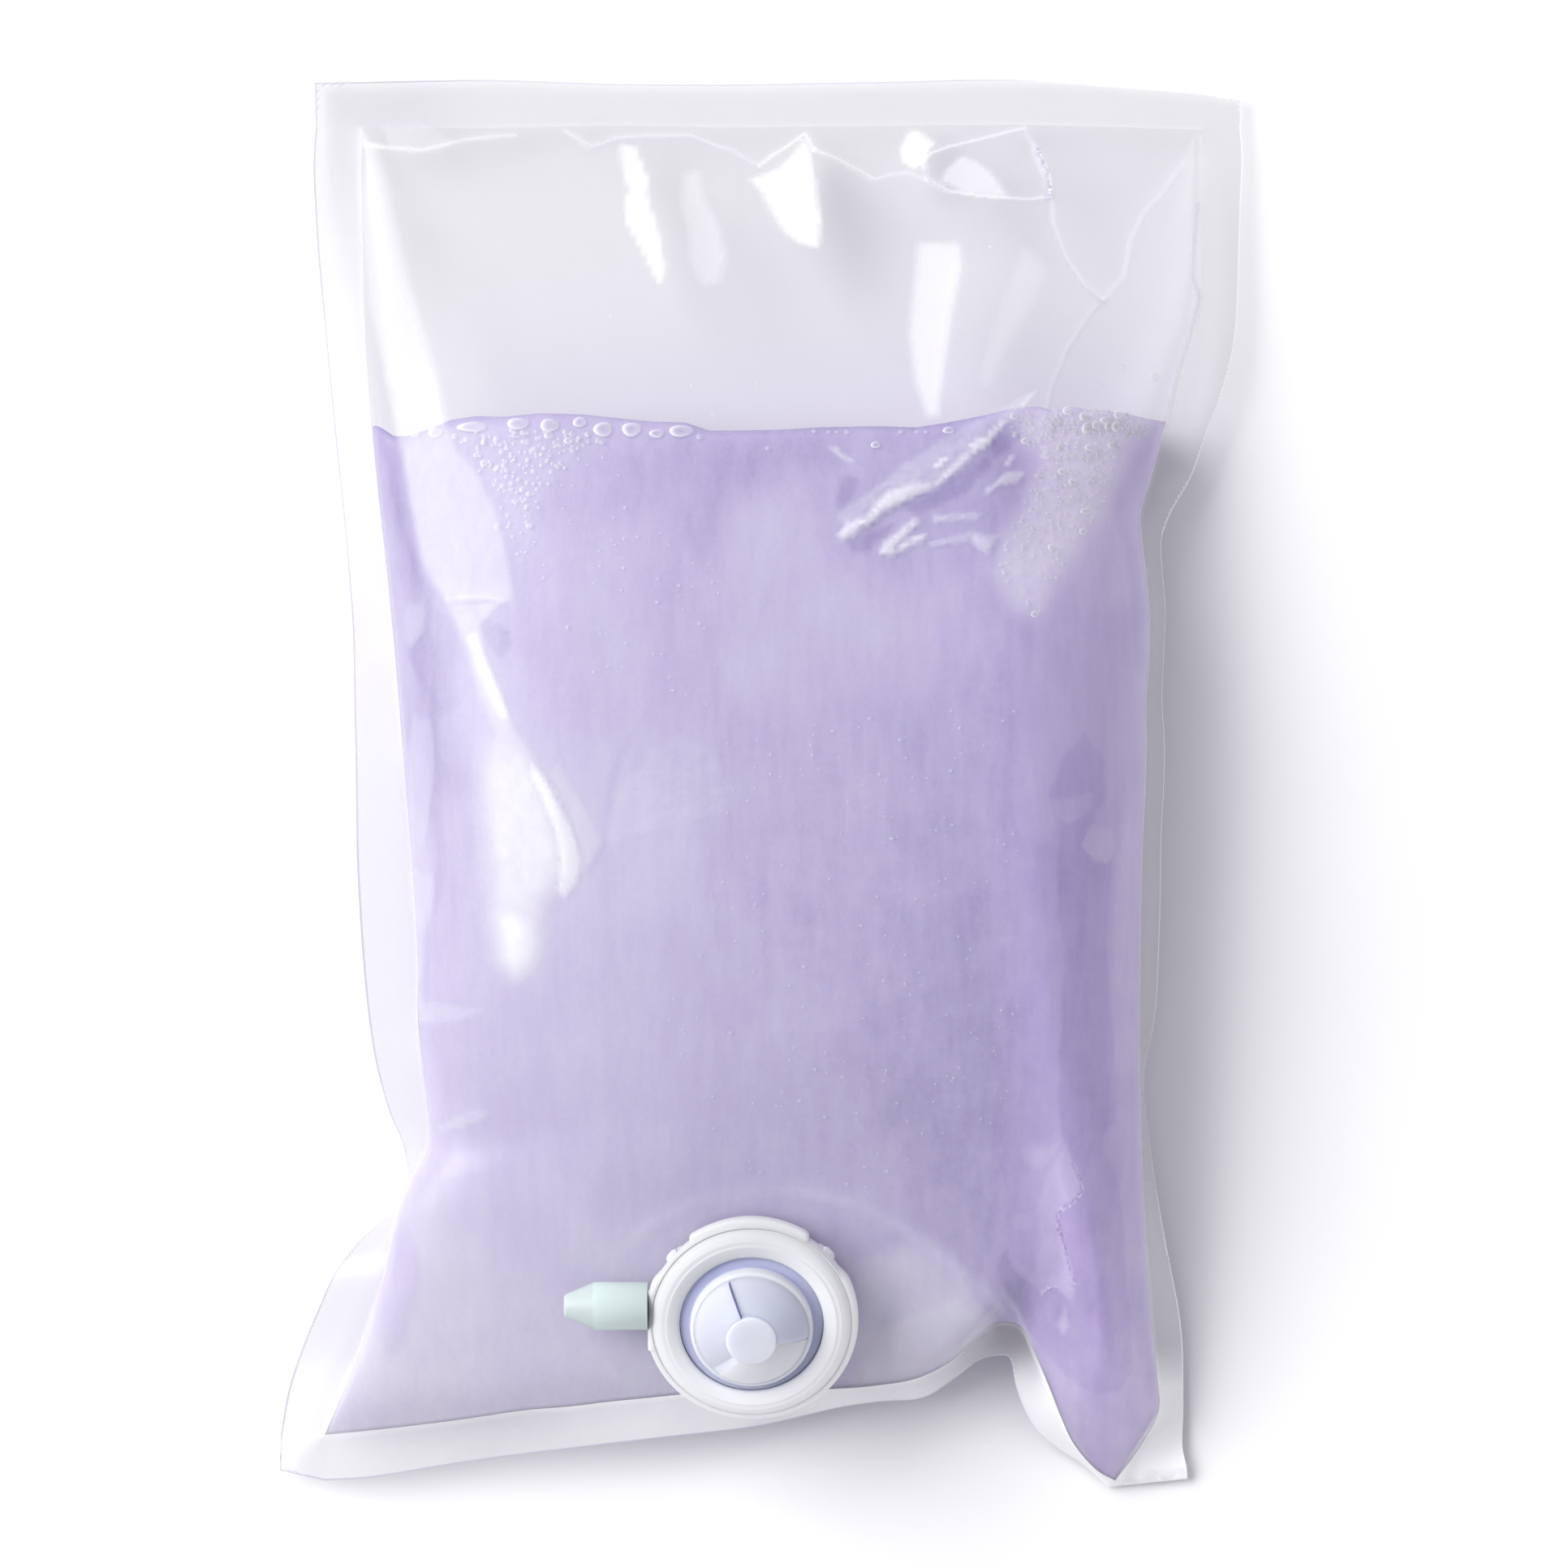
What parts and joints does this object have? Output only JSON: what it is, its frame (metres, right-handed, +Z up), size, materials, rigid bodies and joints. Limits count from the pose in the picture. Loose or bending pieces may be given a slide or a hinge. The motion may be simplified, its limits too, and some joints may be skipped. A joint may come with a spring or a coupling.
{
  "type": "body wash refill bag",
  "caption": "Clear film pouch of lilac body wash, welded on all sides and lying on its back, with a round press-dome pump valve and a mint nozzle low on its front.",
  "frame": {"origin": "on the surface that the bag lies on, under the middle of its bounding box", "axes": "+Z up off the surface, +Y along the bag towards its top weld, +X to the right seen from above, the valve near the -Y end"},
  "size_m": [0.1776, 0.2598, 0.0408],
  "materials": {
    "clear_film": "gloss",
    "body_wash": "gloss",
    "milky_plastic": "satin",
    "ring_plastic": "satin",
    "dome_elastomer": "satin",
    "mint_plastic": "gloss",
    "valve_rubber": "matte"
  },
  "bodies": {
    "bag": {"front_film": "clear_film", "back_film": "clear_film", "body_wash": "body_wash", "spout": "milky_plastic"},
    "pump": {"valve_housing": "milky_plastic", "retaining_ring": "ring_plastic", "nozzle": "mint_plastic", "inlet_valve": "valve_rubber", "outlet_valve": "valve_rubber"},
    "dome": {"pump_dome": "dome_elastomer"}
  },
  "joints": [
    {"name": "valve_swivel", "type": "hinge", "parent": "bag", "child": "pump", "pos_m": [-0.00168, -0.09437, 0.02254], "axis": [0, -0.2924, 0.9563], "continuous": true},
    {"name": "dome_press", "type": "slide", "parent": "pump", "child": "dome", "axis": [0, 0.2924, -0.9563], "range_m": [0, 0.0045], "stiffness_N_per_m": 1200, "deforming": ["pump_dome"]}
  ]
}
